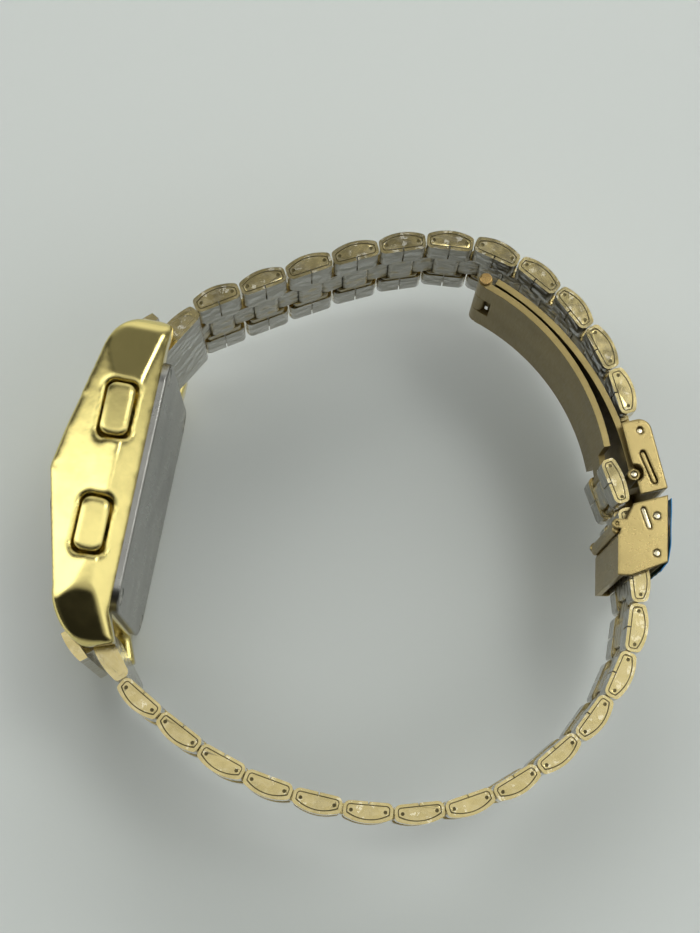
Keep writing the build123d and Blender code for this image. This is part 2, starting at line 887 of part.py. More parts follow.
box_plane = joint_plane(box_point, box_angle)
inside_half = clasp_width / 2 - clasp_wall
with BuildPart() as clasp_box:
    with BuildSketch(box_plane.offset(-clasp_width / 2)) as box_side:
        with Locations(((box_end - box_top) / 2, (box_out - box_in) / 2)):
            Rectangle(box_end + box_top, box_out + box_in)
        fillet(box_side.vertices().filter_by(lambda v: v.X < 0 < v.Y), box_round)
    extrude(amount=clasp_width)
    with BuildSketch(box_plane.offset(-inside_half)):
        with Locations(((box_end - box_top) / 2, (box_out - clasp_wall - box_in - overrun) / 2)):
            Rectangle(box_end + box_top + 2 * overrun, box_out - clasp_wall + box_in + overrun)
    extrude(amount=2 * inside_half, mode=Mode.SUBTRACT)
    with BuildSketch(box_plane.offset(-eye_half - box_notch_gap)):
        with Locations(((box_notch - box_top - overrun) / 2, box_out)):
            Rectangle(box_notch + box_top + overrun, 2 * box_out)
    extrude(amount=2 * (eye_half + box_notch_gap), mode=Mode.SUBTRACT)
    with BuildSketch(box_plane.offset(-clasp_width / 2)):
        Circle(link_pin_radius + pin_fit)
        with Locations((knuckle_along, -knuckle_in)):
            Circle(knuckle_radius + knuckle_gap)
        with Locations((button_along, -button_in)):
            SlotOverall(button_length, button_width, rotation=button_slant)
    extrude(amount=clasp_width, mode=Mode.SUBTRACT)
    with BuildSketch(box_plane.offset(-lug_half)):
        with Locations((knuckle_along, -knuckle_in)):
            Circle(knuckle_radius)
        with Locations((knuckle_along, (box_out - clasp_wall - knuckle_in) / 2)):
            Rectangle(2 * knuckle_radius, box_out - clasp_wall + knuckle_in)
        with Locations((knuckle_along, -knuckle_in)):
            Circle(leaf_pin_radius + pin_fit, mode=Mode.SUBTRACT)
    extrude(amount=2 * lug_half)
    fillet(clasp_box.edges().filter_by(Axis.Z).sort_by(SortBy.LENGTH)[-4:], clasp_wall / 4)
export(clasp_box, "clasp_box")

with BuildPart() as box_pin:
    with BuildSketch(box_plane.offset(box_pin_sunk - clasp_width / 2)):
        Circle(link_pin_radius)
    extrude(amount=clasp_width - 2 * box_pin_sunk)
export(box_pin, "box_pin")

flange_face = inside_half - fit
for label, side in (("near", 1), ("far", -1)):
    with BuildPart() as button:
        with BuildSketch(box_plane.offset(side * flange_face)):
            with Locations((button_along, -button_in)):
                SlotOverall(
                    button_length - 2 * button_gap, button_width - 2 * button_gap, rotation=button_slant
                )
        extrude(amount=side * (clasp_width / 2 - button_sunk - flange_face))
        with BuildSketch(box_plane.offset(side * flange_face)):
            with Locations((button_along, -button_in)):
                SlotOverall(
                    button_length + 2 * button_flange,
                    button_width + 2 * button_flange,
                    rotation=button_slant,
                )
        extrude(amount=-side * button_flange_thick)
    export(button, f"button_{label}")

with BuildPart() as knuckle_pin:
    with BuildSketch(joint_plane(knuckle_point, box_angle, -knuckle_half)):
        Circle(leaf_pin_radius)
    extrude(amount=2 * knuckle_half)
export(knuckle_pin, "knuckle_pin")

# Folding leaves


def circle_through(points):
    """The centre and radius of the circle through three points, and the points' angles on it."""
    first, second, third = points
    rows = np.array([second - first, third - first])
    sides = np.array([second @ second - first @ first, third @ third - first @ first]) / 2
    centre = np.linalg.solve(rows, sides)
    angles = [math.degrees(math.atan2(y, x)) for x, y in (point - centre for point in points)]
    return centre, math.dist(first, centre), angles


def add_band(centre, radius, first, last, low, high):
    """A curved strip of leaf between two angles and two heights."""
    with BuildSketch(Plane.XY.offset(low)) as strip:
        with BuildLine():
            outer = CenterArc(tuple(centre), radius + leaf_thick / 2, first, last - first)
            inner = CenterArc(tuple(centre), radius - leaf_thick / 2, first, last - first)
            Line(outer @ 0, inner @ 0)
            Line(outer @ 1, inner @ 1)
        make_face()
    extrude(strip.sketch, amount=high - low)


def add_round(point, radius, low, high, mode=Mode.ADD):
    """A barrel, or a bore, along Z."""
    with BuildSketch(joint_plane(point, 0, low)) as barrel:
        Circle(radius)
    extrude(barrel.sketch, amount=high - low, mode=mode)


leaf_half = leaf_width / 2
centre_half = leaf_third_share * leaf_width
side_half = centre_half + leaf_barrel_gap
mid_heading = (upper_headings[leaf_mid_joint] + upper_headings[leaf_mid_joint + 1]) / 2
mid_joint_point = upper_points[leaf_mid_joint + 1]
outer_circle = circle_through([
    in_frame(leaf_point, leaf_heading, 0, leaf_spacing),
    in_frame(mid_joint_point, mid_heading, 0, -leaf_mid_out),
    knuckle_point,
])
inner_circle = circle_through([
    in_frame(leaf_point, leaf_heading, 0, -leaf_spacing),
    in_frame(mid_joint_point, mid_heading, 0, -leaf_mid_out - 2 * leaf_spacing),
    last_pin_point,
])

with BuildPart() as outer_leaf:
    centre, radius, (start, _, end) = outer_circle
    main_start = start - math.degrees(leaf_start / radius)
    add_band(centre, radius, start, main_start, -centre_half, centre_half)
    add_band(centre, radius, main_start, end, -leaf_half, leaf_half)
    add_round(leaf_point, leaf_barrel, -centre_half, centre_half)
    add_round(leaf_point, leaf_pin_radius + hinge_pin_gap, -centre_half, centre_half, Mode.SUBTRACT)
    add_round(
        knuckle_point, knuckle_radius + knuckle_gap,
        -lug_half - leaf_barrel_gap, lug_half + leaf_barrel_gap, Mode.SUBTRACT,
    )
    for side in (-1, 1):
        low, high = sorted((side * (lug_half + leaf_barrel_gap), side * knuckle_half))
        add_round(knuckle_point, knuckle_radius, low, high)
    add_round(knuckle_point, leaf_pin_radius + hinge_pin_gap, -knuckle_half, knuckle_half, Mode.SUBTRACT)
export(outer_leaf, "outer_leaf")

with BuildPart() as inner_leaf:
    centre, radius, (start, _, end) = inner_circle
    main_start = start - math.degrees(leaf_start / radius)
    main_end = end + math.degrees(leaf_tip / radius)
    add_band(centre, radius, main_start, main_end, -leaf_half, leaf_half)
    add_band(centre, radius, main_end, end, -eye_half, eye_half)
    for side in (-1, 1):
        low, high = sorted((side * side_half, side * leaf_half))
        add_band(centre, radius, start, main_start, low, high)
        add_round(leaf_point, leaf_barrel, low, high)
    add_round(leaf_point, leaf_pin_radius + pin_fit, -leaf_half, leaf_half, Mode.SUBTRACT)
    add_round(last_pin_point, eye_radius, -eye_half, eye_half)
    add_round(last_pin_point, link_pin_radius + hinge_pin_gap, -eye_half, eye_half, Mode.SUBTRACT)
export(inner_leaf, "inner_leaf")

with BuildPart() as leaf_pin:
    add_round(leaf_point, leaf_pin_radius, -leaf_half - leaf_pin_side_gap, leaf_half + leaf_pin_side_gap)
    for side in (-1, 1):
        head = leaf_half + leaf_pin_side_gap
        low, high = sorted((side * head, side * (head + leaf_pin_head_thick)))
        add_round(leaf_point, leaf_pin_head, low, high)
export(leaf_pin, "leaf_pin")

# Size slide

slide_plane = joint_plane(slide_point, slide_angle)
plate_in = slide_out - clasp_wall
lip_out = clasp_wall - slide_in_wall
with BuildPart() as slide_shell:
    with BuildSketch(slide_plane.offset(-clasp_width / 2)):
        with BuildLine():
            Polyline(
                (-slide_top_in, -slide_shoulder),
                (-slide_top_out, slide_out),
                (slide_bottom_out, slide_out),
                (slide_bottom_in, -slide_heel),
                (slide_bottom_in, -slide_in_wall),
                (-slide_lip, -slide_in_wall),
                close=True,
            )
        make_face()
        with Locations((-catch_along, -catch_in)):
            Circle(catch_ear)
        with Locations((-catch_along, -catch_in / 2)):
            Rectangle(2 * catch_ear, catch_in)
    extrude(amount=clasp_width)
    with BuildSketch(slide_plane.offset(-inside_half)):
        with Locations((0, (plate_in + lip_out) / 2)):
            Rectangle(4 * slide_top_out, plate_in - lip_out)
        with Locations((-slide_lip - slide_top_out, 0)):
            Rectangle(2 * slide_top_out, 2 * (catch_in + overrun))
        with Locations((-slide_top_out, slide_out)):
            Rectangle(2 * slide_plate_back, 2 * slide_out)
    extrude(amount=2 * inside_half, mode=Mode.SUBTRACT)
    with BuildSketch(slide_plane.offset(-clasp_width / 2)):
        with Locations((-slide_pin_top, slide_pin_out), (slide_pin_bottom, slide_pin_out)):
            Circle(slide_pin_radius + pin_fit)
        with Locations((-slot_along, slot_out)):
            SlotOverall(slot_length, slot_width, rotation=slot_slant)
        with Locations((-catch_along, -catch_in)):
            Circle(catch_pin_radius + hinge_pin_gap)
    extrude(amount=clasp_width, mode=Mode.SUBTRACT)
export(slide_shell, "slide_shell")

slot_face = leaf_half + button_gap
with BuildPart() as slide_pins:
    with BuildSketch(slide_plane.offset(-clasp_width / 2)):
        with Locations((-slide_pin_top, slide_pin_out), (slide_pin_bottom, slide_pin_out)):
            Circle(slide_pin_radius)
    extrude(amount=clasp_width)
    for low in (-clasp_width / 2 + button_sunk, slot_face):
        with BuildSketch(slide_plane.offset(low)):
            with Locations((-slot_along, slot_out)):
                SlotOverall(slot_length - 2 * pin_fit, slot_width - 2 * pin_fit, rotation=slot_slant)
        extrude(amount=clasp_width / 2 - button_sunk - slot_face)
export(slide_pins, "slide_pins")

catch_half = inside_half - catch_side_gap
with BuildPart() as slide_catch:
    with BuildSketch(slide_plane.offset(-catch_half)):
        with Locations((catch_reach / 2 - catch_along, -catch_in)):
            SlotOverall(catch_reach + 2 * catch_radius, 2 * catch_radius)
    extrude(amount=2 * catch_half)
    with BuildSketch(slide_plane.offset(-clasp_width / 2 + fit)):
        with Locations((-catch_along, -catch_in)):
            Circle(catch_pin_radius)
    extrude(amount=clasp_width - 2 * fit)
export(slide_catch, "slide_catch")

film_half = clasp_width / 2 - film_margin
with BuildPart() as protective_film:
    with BuildSketch(slide_plane.offset(-film_half)):
        with BuildLine():
            Polyline(
                (film_margin - slide_top_out, slide_out),
                (film_margin - slide_top_out, slide_out + film_thick),
                (slide_bottom_out, slide_out + film_thick),
                (slide_bottom_out + film_tail, slide_out + film_thick - film_tail_drop),
                (slide_bottom_out + film_tail, slide_out - film_tail_drop),
                (slide_bottom_out, slide_out),
                close=True,
            )
        make_face()
    extrude(amount=2 * film_half)
export(protective_film, "protective_film")
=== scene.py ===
import json
import math

import bmesh
import bpy
import numpy as np
from mathutils import Matrix, Vector


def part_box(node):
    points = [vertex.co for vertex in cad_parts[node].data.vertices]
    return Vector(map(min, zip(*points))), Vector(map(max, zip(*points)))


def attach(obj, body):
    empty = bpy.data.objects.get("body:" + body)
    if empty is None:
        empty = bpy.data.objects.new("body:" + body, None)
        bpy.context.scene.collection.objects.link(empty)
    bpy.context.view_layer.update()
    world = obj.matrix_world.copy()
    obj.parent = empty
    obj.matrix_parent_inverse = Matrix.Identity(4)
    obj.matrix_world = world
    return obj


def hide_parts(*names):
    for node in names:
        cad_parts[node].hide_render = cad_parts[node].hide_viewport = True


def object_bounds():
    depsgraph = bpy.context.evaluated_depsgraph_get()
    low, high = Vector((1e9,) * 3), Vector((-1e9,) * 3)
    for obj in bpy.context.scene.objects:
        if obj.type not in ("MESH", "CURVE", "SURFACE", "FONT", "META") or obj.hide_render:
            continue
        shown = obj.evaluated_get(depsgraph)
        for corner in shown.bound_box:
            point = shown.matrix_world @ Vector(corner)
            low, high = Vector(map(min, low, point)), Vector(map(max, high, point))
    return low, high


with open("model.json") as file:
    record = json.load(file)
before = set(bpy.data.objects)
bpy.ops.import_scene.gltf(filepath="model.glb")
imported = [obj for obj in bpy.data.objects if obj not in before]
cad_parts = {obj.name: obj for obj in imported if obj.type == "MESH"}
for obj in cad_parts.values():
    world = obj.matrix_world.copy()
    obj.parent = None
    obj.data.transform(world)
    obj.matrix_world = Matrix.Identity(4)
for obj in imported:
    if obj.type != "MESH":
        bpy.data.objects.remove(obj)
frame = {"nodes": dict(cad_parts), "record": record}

bl_info = {
    "name": "Led watch dresser",
    "version": (1, 0, 0),
    "blender": (4, 5, 0),
    "location": "3D Viewport > Sidebar > Watch",
    "description": "Finishes the packed led watch: plated metal, lens, films, stage and camera",
    "category": "Object",
}

CAD_LOW, CAD_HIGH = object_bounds()
NODES = frame["nodes"]
BODY_OF = {node: name for name, held in frame["record"]["behaviour"]["bodies"].items() for node in held}
MM = 0.001

# The camera's place and its right, up and back directions, in the frame's axes
CAMERA_PLACE = (0.02743, -0.03720, 0.2189)
CAMERA_RIGHT = (0.98211, 0.18735, 0.01901)
CAMERA_UP = (-0.18716, 0.95999, 0.20834)
CAMERA_BACK = (0.02079, -0.20817, 0.97787)
CAMERA_SENSOR = 36.0
CAMERA_LENS = 69.45
CAMERA_NEAR = 0.01

# The lamps' names, places, sides and powers, and the point that they aim at
LAMPS = (
    ("window light", (-0.08, 0.62, 0.42), 0.55, 2.6),
    ("room light", (0.42, -0.22, 0.52), 0.50, 1.2),
)
LAMP_AIM = (0.03, 0, 0)
FLOOR_ROUGHNESS = 0.6

# The room that the plate mirrors: its tint, and how bright the ceiling is at most and at least, the far wall,
# the pane on the left, the small lamp overhead, the front, the floor's side and the plain backdrop
ROOM_TINT = (0.96, 0.99, 0.97, 1)
CEILING_MOST, CEILING_LEAST, CEILING_IN_FRONT = 1.25, 0.2, 0.42
FAR_WALL_LEVEL = 0.9
PANE_MOST, PANE_LEAST = 1.1, -0.12
SPOT_DIRECTION, SPOT_LEVEL = (0.31, 0.34, 0.887), 7.0
FRONT_SHARE, LOW_SHARE = 0.04, 0.75
BACKDROP_LEVEL = 0.8

# The size slide's outer face, in mm: its corner and direction, and the film's distance from that corner
SLIDE_POINT = (58.08345, 4.95138)
SLIDE_ANGLE = -81.41477
FILM_LEVEL = 3.7

# The film, in mm: where it starts, bends over the corner and ends, how far its tail drops, half its width,
# and over what length it comes loose
FILM_TOP, FILM_CORNER, FILM_END = -5.6, 2.2, 3.3
FILM_TAIL_DROP = 0.9
FILM_HALF = 8.7
FILM_LOOSE_RUN = 3.2
FILM_STEPS_ALONG, FILM_STEPS_ACROSS = 80, 90

# How a CAD node's mesh is merged, bevelled, cut fine and smoothed
MERGE_DISTANCE = 0.002 * MM
FLAT_ANGLE = math.radians(0.6)
EDGE_ANGLE = math.radians(24.0)
EDGE_SEGMENTS = 3
SHARP_ANGLE = math.radians(40)
CUT_ROUNDS = 6
SMOOTH_ROUNDS = 8
HULL_FACE = 0.01 * MM * MM
HULL_SLACK = 0.02 * MM

# The floor of the line pressed into a link's flank, which is painted dark as shade: how deep it lies, and how
# squarely it faces out
GROOVE_NEAR, GROOVE_FAR = 0.04 * MM, 0.4 * MM
GROOVE_FACING = 0.95

# The wrist loop's middle, as a share of the watch's reach, and the colour and gloss of the faces that face
# it; the colour is a painted reflection of the pale floor and painted shade inside the loop
LOOP_SHARE = 0.42
INNER_SHADE_AND_REFLECTION = (0.34, 0.32, 0.26)
INNER_ROUGHNESS = 0.42

# Radii that sharp edges seem to have in the light, and the height of the clear wrapping's creases
CASE_ROUND, CLASP_ROUND, PIN_ROUND = 1.0 * MM, 0.35 * MM, 0.14 * MM
EDGE_SAMPLES = 8
CRUMPLE_HEIGHT = 0.4 * MM

# Brush lines: how closely they vary in x, y and z, per metre
CLASP_LINES = (5000, 5000, 500)
PIN_LINES = (6000, 6000, 600)
BACK_LINES = (7000, 7000, 300)
TURNED_LINES = (300, 300, 7000)

# The nodes that take each finish
CASE_FINISHES = {
    "back steel": ("case_back",),
    "pin steel": (
        "case_back_screws", "battery_cells", "battery_strap", "spring_bars", "pusher_spring_upper",
        "pusher_spring_lower",
    ),
    "seal rubber": ("case_back_gasket", "window_gasket"),
    "lens": ("display_window",),
    "display black": ("display_block",),
    "led red": ("led_digits",),
    "module plastic": ("module_holder",),
    "circuit board": ("circuit_board",),
}
CLASP_FINISHES = {
    "clasp plate": ("clasp_box", "slide_shell", "slide_catch", "button_near", "button_far"),
    "leaf plate": ("outer_leaf", "inner_leaf"),
    "pin brass": ("leaf_pin",),
    "pin pale": ("box_pin", "knuckle_pin", "slide_pins"),
}


# Sizes and colours

class WatchSizes(bpy.types.PropertyGroup):
    """Sizes of the finish, in metres."""

    case_step: bpy.props.FloatProperty(
        name="Case step", description="Longest edge of the case's mesh before its edges are eased",
        default=0.5 * MM, min=0, unit="LENGTH",
    )
    case_depth: bpy.props.FloatProperty(
        name="Case depth", description="How far under the case's outer faces its edges are eased",
        default=1.0 * MM, min=0, unit="LENGTH",
    )
    link_edge: bpy.props.FloatProperty(
        name="Link edge", description="Radius of the links' edges", default=0.14 * MM, min=0,
        unit="LENGTH",
    )
    clasp_edge: bpy.props.FloatProperty(
        name="Clasp edge", description="Radius of the clasp's edges", default=0.12 * MM, min=0,
        unit="LENGTH",
    )
    film_thickness: bpy.props.FloatProperty(
        name="Film thickness", description="Thickness of the blue film", default=0.1 * MM, min=0,
        unit="LENGTH",
    )
    film_lift: bpy.props.FloatProperty(
        name="Film lift", description="How far the loose film stands off the slide", default=0.46 * MM,
        min=0, unit="LENGTH",
    )
    floor_half: bpy.props.FloatProperty(
        name="Floor half size", description="Half the side of the floor", default=5.0, min=0,
        unit="LENGTH",
    )


class WatchColours(bpy.types.PropertyGroup):
    """Colours of the finish, as linear values."""

    polished: bpy.props.FloatVectorProperty(
        name="Polished gold", description="Plate of the case and the pushers",
        default=(0.84, 0.70, 0.27), size=3, min=0, max=1, subtype="COLOR",
    )
    pale: bpy.props.FloatVectorProperty(
        name="Pale gold", description="Plate of the links",
        default=(0.53, 0.43, 0.20), size=3, min=0, max=1, subtype="COLOR",
    )
    brushed: bpy.props.FloatVectorProperty(
        name="Brushed gold", description="Plate of the clasp",
        default=(0.45, 0.345, 0.145), size=3, min=0, max=1, subtype="COLOR",
    )
    floor: bpy.props.FloatVectorProperty(
        name="Floor", description="The pale surface that the watch lies on",
        default=(0.56, 0.585, 0.56), size=3, min=0, max=1, subtype="COLOR",
    )


# Shader helpers

def new_group(name, inputs, outputs):
    """An empty shader group with its sockets, and its own input and output nodes."""
    tree = bpy.data.node_groups.new(name, "ShaderNodeTree")
    for socket, kind, value in inputs:
        made = tree.interface.new_socket(socket, in_out="INPUT", socket_type=kind)
        if value is not None:
            made.default_value = value
    for socket, kind in outputs:
        tree.interface.new_socket(socket, in_out="OUTPUT", socket_type=kind)
    return tree, tree.nodes.new("NodeGroupInput"), tree.nodes.new("NodeGroupOutput")


def add(tree, kind, **inputs):
    """A node with some of its sockets set: a value is written, and an output is linked.

    A socket is given by its name, with an underscore for a space, or as i and its number.
    """
    node = tree.nodes.new(kind)
    for key, value in inputs.items():
        if key in ("operation", "data_type", "feature"):
            setattr(node, key, value)
            continue
        numbered = key[0] == "i" and key[1:].isdigit()
        socket = node.inputs[int(key[1:]) if numbered else key.replace("_", " ")]
        if isinstance(value, bpy.types.NodeSocket):
            tree.links.new(value, socket)
        else:
            socket.default_value = value
    return node


def math_node(tree, operation, first, second=0.0, third=0.0):
    """The output of a Math node."""
    return add(tree, "ShaderNodeMath", operation=operation, i0=first, i1=second, i2=third).outputs[0]


def ramp(tree, value, low, high, to_low=0.0, to_high=1.0):
    """A value mapped from one range to another, and held at its ends."""
    ends = {"From_Min": low, "From_Max": high, "To_Min": to_low, "To_Max": to_high}
    return add(tree, "ShaderNodeMapRange", Value=value, **ends).outputs[0]


def mix(tree, share, first, second):
    """Two colours mixed by a share."""
    node = add(tree, "ShaderNodeMix", data_type="RGBA")
    for place, value in ((0, share), (6, first), (7, second)):
        if isinstance(value, bpy.types.NodeSocket):
            tree.links.new(value, node.inputs[place])
        else:
            node.inputs[place].default_value = value
    return node.outputs[2]


def brushed_group():
    """Brush lines: noise stretched along one axis, as a height and a roughness that follows it."""
    tree, given, made = new_group(
        "Brush lines",
        [("Vector", "NodeSocketVector", None), ("Stretch", "NodeSocketVector", (9000, 9000, 300)),
         ("Low", "NodeSocketFloat", 0.25), ("High", "NodeSocketFloat", 0.42)],
        [("Height", "NodeSocketFloat"), ("Roughness", "NodeSocketFloat")],
    )
    place, stretch, low, high = given.outputs[:4]
    scaled = add(tree, "ShaderNodeVectorMath", operation="MULTIPLY", i0=place, i1=stretch)
    noise = add(tree, "ShaderNodeTexNoise", Vector=scaled.outputs[0], Scale=1.0, Detail=4.0, Roughness=0.6)
    cloudy = add(tree, "ShaderNodeTexNoise", Vector=place, Scale=260.0, Detail=3.0)
    both = math_node(tree, "MULTIPLY_ADD", cloudy.outputs[0], 0.6, noise.outputs[0])
    span = math_node(tree, "SUBTRACT", high, low)
    share = ramp(tree, both, 0.5, 1.1)
    tree.links.new(noise.outputs[0], made.inputs["Height"])
    tree.links.new(math_node(tree, "MULTIPLY_ADD", share, span, low), made.inputs["Roughness"])
    return tree


def plate_group():
    """Plating: two tones that drift slowly, hair scratches, smudges in the gloss and a faint orange-peel."""
    tree, given, made = new_group(
        "Plating",
        [("Vector", "NodeSocketVector", None), ("Light", "NodeSocketColor", (0.8, 0.6, 0.3, 1)),
         ("Dark", "NodeSocketColor", (0.6, 0.4, 0.15, 1)), ("Low", "NodeSocketFloat", 0.08),
         ("High", "NodeSocketFloat", 0.25)],
        [("Color", "NodeSocketColor"), ("Roughness", "NodeSocketFloat"), ("Height", "NodeSocketFloat")],
    )
    place, light, dark, low, high = given.outputs[:5]
    slow = add(tree, "ShaderNodeTexNoise", Vector=place, Scale=95.0, Detail=3.0, Roughness=0.55)
    smudge = add(tree, "ShaderNodeTexNoise", Vector=place, Scale=420.0, Detail=5.0, Roughness=0.65)
    peel = add(tree, "ShaderNodeTexNoise", Vector=place, Scale=700.0, Detail=2.0)
    hair = add(tree, "ShaderNodeTexVoronoi", Vector=place, Scale=900.0, feature="DISTANCE_TO_EDGE")
    hair_line = ramp(tree, hair.outputs[0], 0.0, 0.02, 1.0, 0.0)
    colour = mix(tree, ramp(tree, slow.outputs[0], 0.35, 0.65), light, dark)
    span = math_node(tree, "SUBTRACT", high, low)
    gloss = math_node(tree, "MULTIPLY_ADD", ramp(tree, smudge.outputs[0], 0.35, 0.75), span, low)
    height = math_node(tree, "MULTIPLY_ADD", hair_line, -0.12, peel.outputs[0])
    for socket, value in (("Color", colour), ("Roughness", gloss), ("Height", height)):
        tree.links.new(value, made.inputs[socket])
    return tree


def loop_side_group():
    """How much a face looks into the wrist loop, where the links are painted greyer and darker: its normal
    against the direction of the loop's middle.
    """
    tree, given, made = new_group(
        "Loop side",
        [("Vector", "NodeSocketVector", None), ("Normal", "NodeSocketVector", None),
         ("Middle", "NodeSocketVector", (0, 0, 0))],
        [("Inner", "NodeSocketFloat")],
    )
    place, normal, middle = given.outputs[:3]
    ray = add(tree, "ShaderNodeVectorMath", operation="SUBTRACT", i0=middle, i1=place)
    flat = add(tree, "ShaderNodeVectorMath", operation="MULTIPLY", i0=ray.outputs[0], i1=(1, 1, 0))
    unit = add(tree, "ShaderNodeVectorMath", operation="NORMALIZE", i0=flat.outputs[0])
    dot = add(tree, "ShaderNodeVectorMath", operation="DOT_PRODUCT", i0=unit.outputs[0], i1=normal)
    tree.links.new(ramp(tree, dot.outputs["Value"], 0.35, 0.75), made.inputs["Inner"])
    return tree


def shade(colour, share):
    """A colour brought down to a share of its brightness."""
    return tuple(value * share for value in colour)


class Finishes:
    """The watch's materials, made once and kept by name.

    A light and a dark tone drift over each one, rough is its lowest and highest roughness, bump is the height
    of its grain in mm, and edge is the radius in metres that its sharp edges seem to have.
    """

    def __init__(self):
        self.brush = brushed_group()
        self.plate = plate_group()
        self.side = loop_side_group()
        self.made = {}

    def start(self, name, metallic=0.0, roughness=0.5, **extra):
        """A material with its Principled shader and object coordinates."""
        material = bpy.data.materials.new(name)
        material.use_nodes = True
        tree = material.node_tree
        shader = tree.nodes["Principled BSDF"]
        shader.inputs["Metallic"].default_value = metallic
        shader.inputs["Roughness"].default_value = roughness
        for key, value in extra.items():
            shader.inputs[key.replace("_", " ")].default_value = value
        places = tree.nodes.new("ShaderNodeTexCoord")
        self.made[name] = material
        return tree, shader, places

    def bump(self, tree, shader, height, distance, edge=0.0):
        """A bump from a height, its distance in metres, over edges that catch the light as if rounded."""
        node = add(tree, "ShaderNodeBump", Strength=1.0, Distance=distance, Height=height)
        if edge:
            rounded = add(tree, "ShaderNodeBevel", Radius=edge)
            rounded.samples = EDGE_SAMPLES
            tree.links.new(rounded.outputs[0], node.inputs["Normal"])
        tree.links.new(node.outputs[0], shader.inputs["Normal"])

    def plated(self, name, light, dark, rough, bump=0.004, inner=None, film=False, edge=0.0):
        """Polished plate. With inner given, the faces that look into the loop are duller, in that colour,
        which is a painted reflection of the floor and painted shade inside the loop.
        """
        tree, shader, places = self.start(name, metallic=1.0)
        plate = add(tree, "ShaderNodeGroup")
        plate.node_tree = self.plate
        tree.links.new(places.outputs["Object"], plate.inputs["Vector"])
        plate.inputs["Light"].default_value = (*light, 1)
        plate.inputs["Dark"].default_value = (*dark, 1)
        plate.inputs["Low"].default_value, plate.inputs["High"].default_value = rough
        colour, gloss = plate.outputs["Color"], plate.outputs["Roughness"]
        if inner:
            side = add(tree, "ShaderNodeGroup")
            side.node_tree = self.side
            tree.links.new(places.outputs["Object"], side.inputs["Vector"])
            tree.links.new(places.outputs["Normal"], side.inputs["Normal"])
            side.inputs["Middle"].default_value = loop_middle()
            # Faces turned into the loop take the painted colour: a painted reflection of the pale floor and
            # painted shade inside the loop
            colour = mix(tree, side.outputs["Inner"], colour, (*inner, 1))
            dull = math_node(tree, "MULTIPLY", side.outputs["Inner"], INNER_ROUGHNESS)
            gloss = math_node(tree, "MAXIMUM", gloss, dull)
        tree.links.new(colour, shader.inputs["Base Color"])
        tree.links.new(gloss, shader.inputs["Roughness"])
        self.bump(tree, shader, plate.outputs["Height"], bump * MM, edge)
        if film:
            self.wrapping(tree, shader, places.outputs["Object"])

    def wrapping(self, tree, shader, place):
        """A clear crumpled coat: cells for its creases and noise for its folds, as a bump of its own."""
        creases = add(tree, "ShaderNodeTexVoronoi", Vector=place, Scale=620.0)
        waves = add(tree, "ShaderNodeTexNoise", Vector=place, Scale=380.0, Detail=3.0)
        height = math_node(tree, "MULTIPLY_ADD", waves.outputs[0], 1.4, creases.outputs[0])
        crumple = add(tree, "ShaderNodeBump", Strength=0.75, Distance=CRUMPLE_HEIGHT, Height=height)
        tree.links.new(crumple.outputs[0], shader.inputs["Coat Normal"])
        shader.inputs["Coat Weight"].default_value = 0.85
        shader.inputs["Coat Roughness"].default_value = 0.06

    def brushed(self, name, light, dark, lines, rough, bump=0.01, edge=0.0):
        """Brushed metal, with lines along one axis."""
        tree, shader, places = self.start(name, metallic=1.0)
        brush = add(tree, "ShaderNodeGroup")
        brush.node_tree = self.brush
        tree.links.new(places.outputs["Object"], brush.inputs["Vector"])
        brush.inputs["Stretch"].default_value = lines
        brush.inputs["Low"].default_value, brush.inputs["High"].default_value = rough
        tone = add(tree, "ShaderNodeTexNoise", Vector=places.outputs["Object"], Scale=150.0, Detail=4.0)
        colour = mix(tree, ramp(tree, tone.outputs[0], 0.35, 0.68), (*light, 1), (*dark, 1))
        tree.links.new(colour, shader.inputs["Base Color"])
        tree.links.new(brush.outputs["Roughness"], shader.inputs["Roughness"])
        self.bump(tree, shader, brush.outputs["Height"], bump * MM, edge)

    def speckled(self, name, light, dark, scale, rough, bump, **extra):
        """A moulded or lacquered surface: two tones, an uneven gloss and a fine grain."""
        tree, shader, places = self.start(name, **extra)
        noise = add(tree, "ShaderNodeTexNoise", Vector=places.outputs["Object"], Scale=scale, Detail=5.0)
        colour = mix(tree, ramp(tree, noise.outputs[0], 0.35, 0.65), (*light, 1), (*dark, 1))
        tree.links.new(colour, shader.inputs["Base Color"])
        gloss = ramp(tree, noise.outputs[0], 0.3, 0.7, *rough)
        tree.links.new(gloss, shader.inputs["Roughness"])
        self.bump(tree, shader, noise.outputs[0], bump * MM)


def loop_middle():
    """The middle of the wrist loop."""
    low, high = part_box("case_back")
    return (CAD_HIGH.x * LOOP_SHARE, (low[1] + high[1]) / 2, 0)


# Mesh helpers

def copied(node, name, material):
    """A new piece with a copy of a CAD node's mesh, in one material."""
    mesh = NODES[node].data.copy()
    piece = bpy.data.objects.new(name, mesh)
    bpy.context.scene.collection.objects.link(piece)
    mesh.materials.clear()
    mesh.materials.append(material)
    return piece, mesh


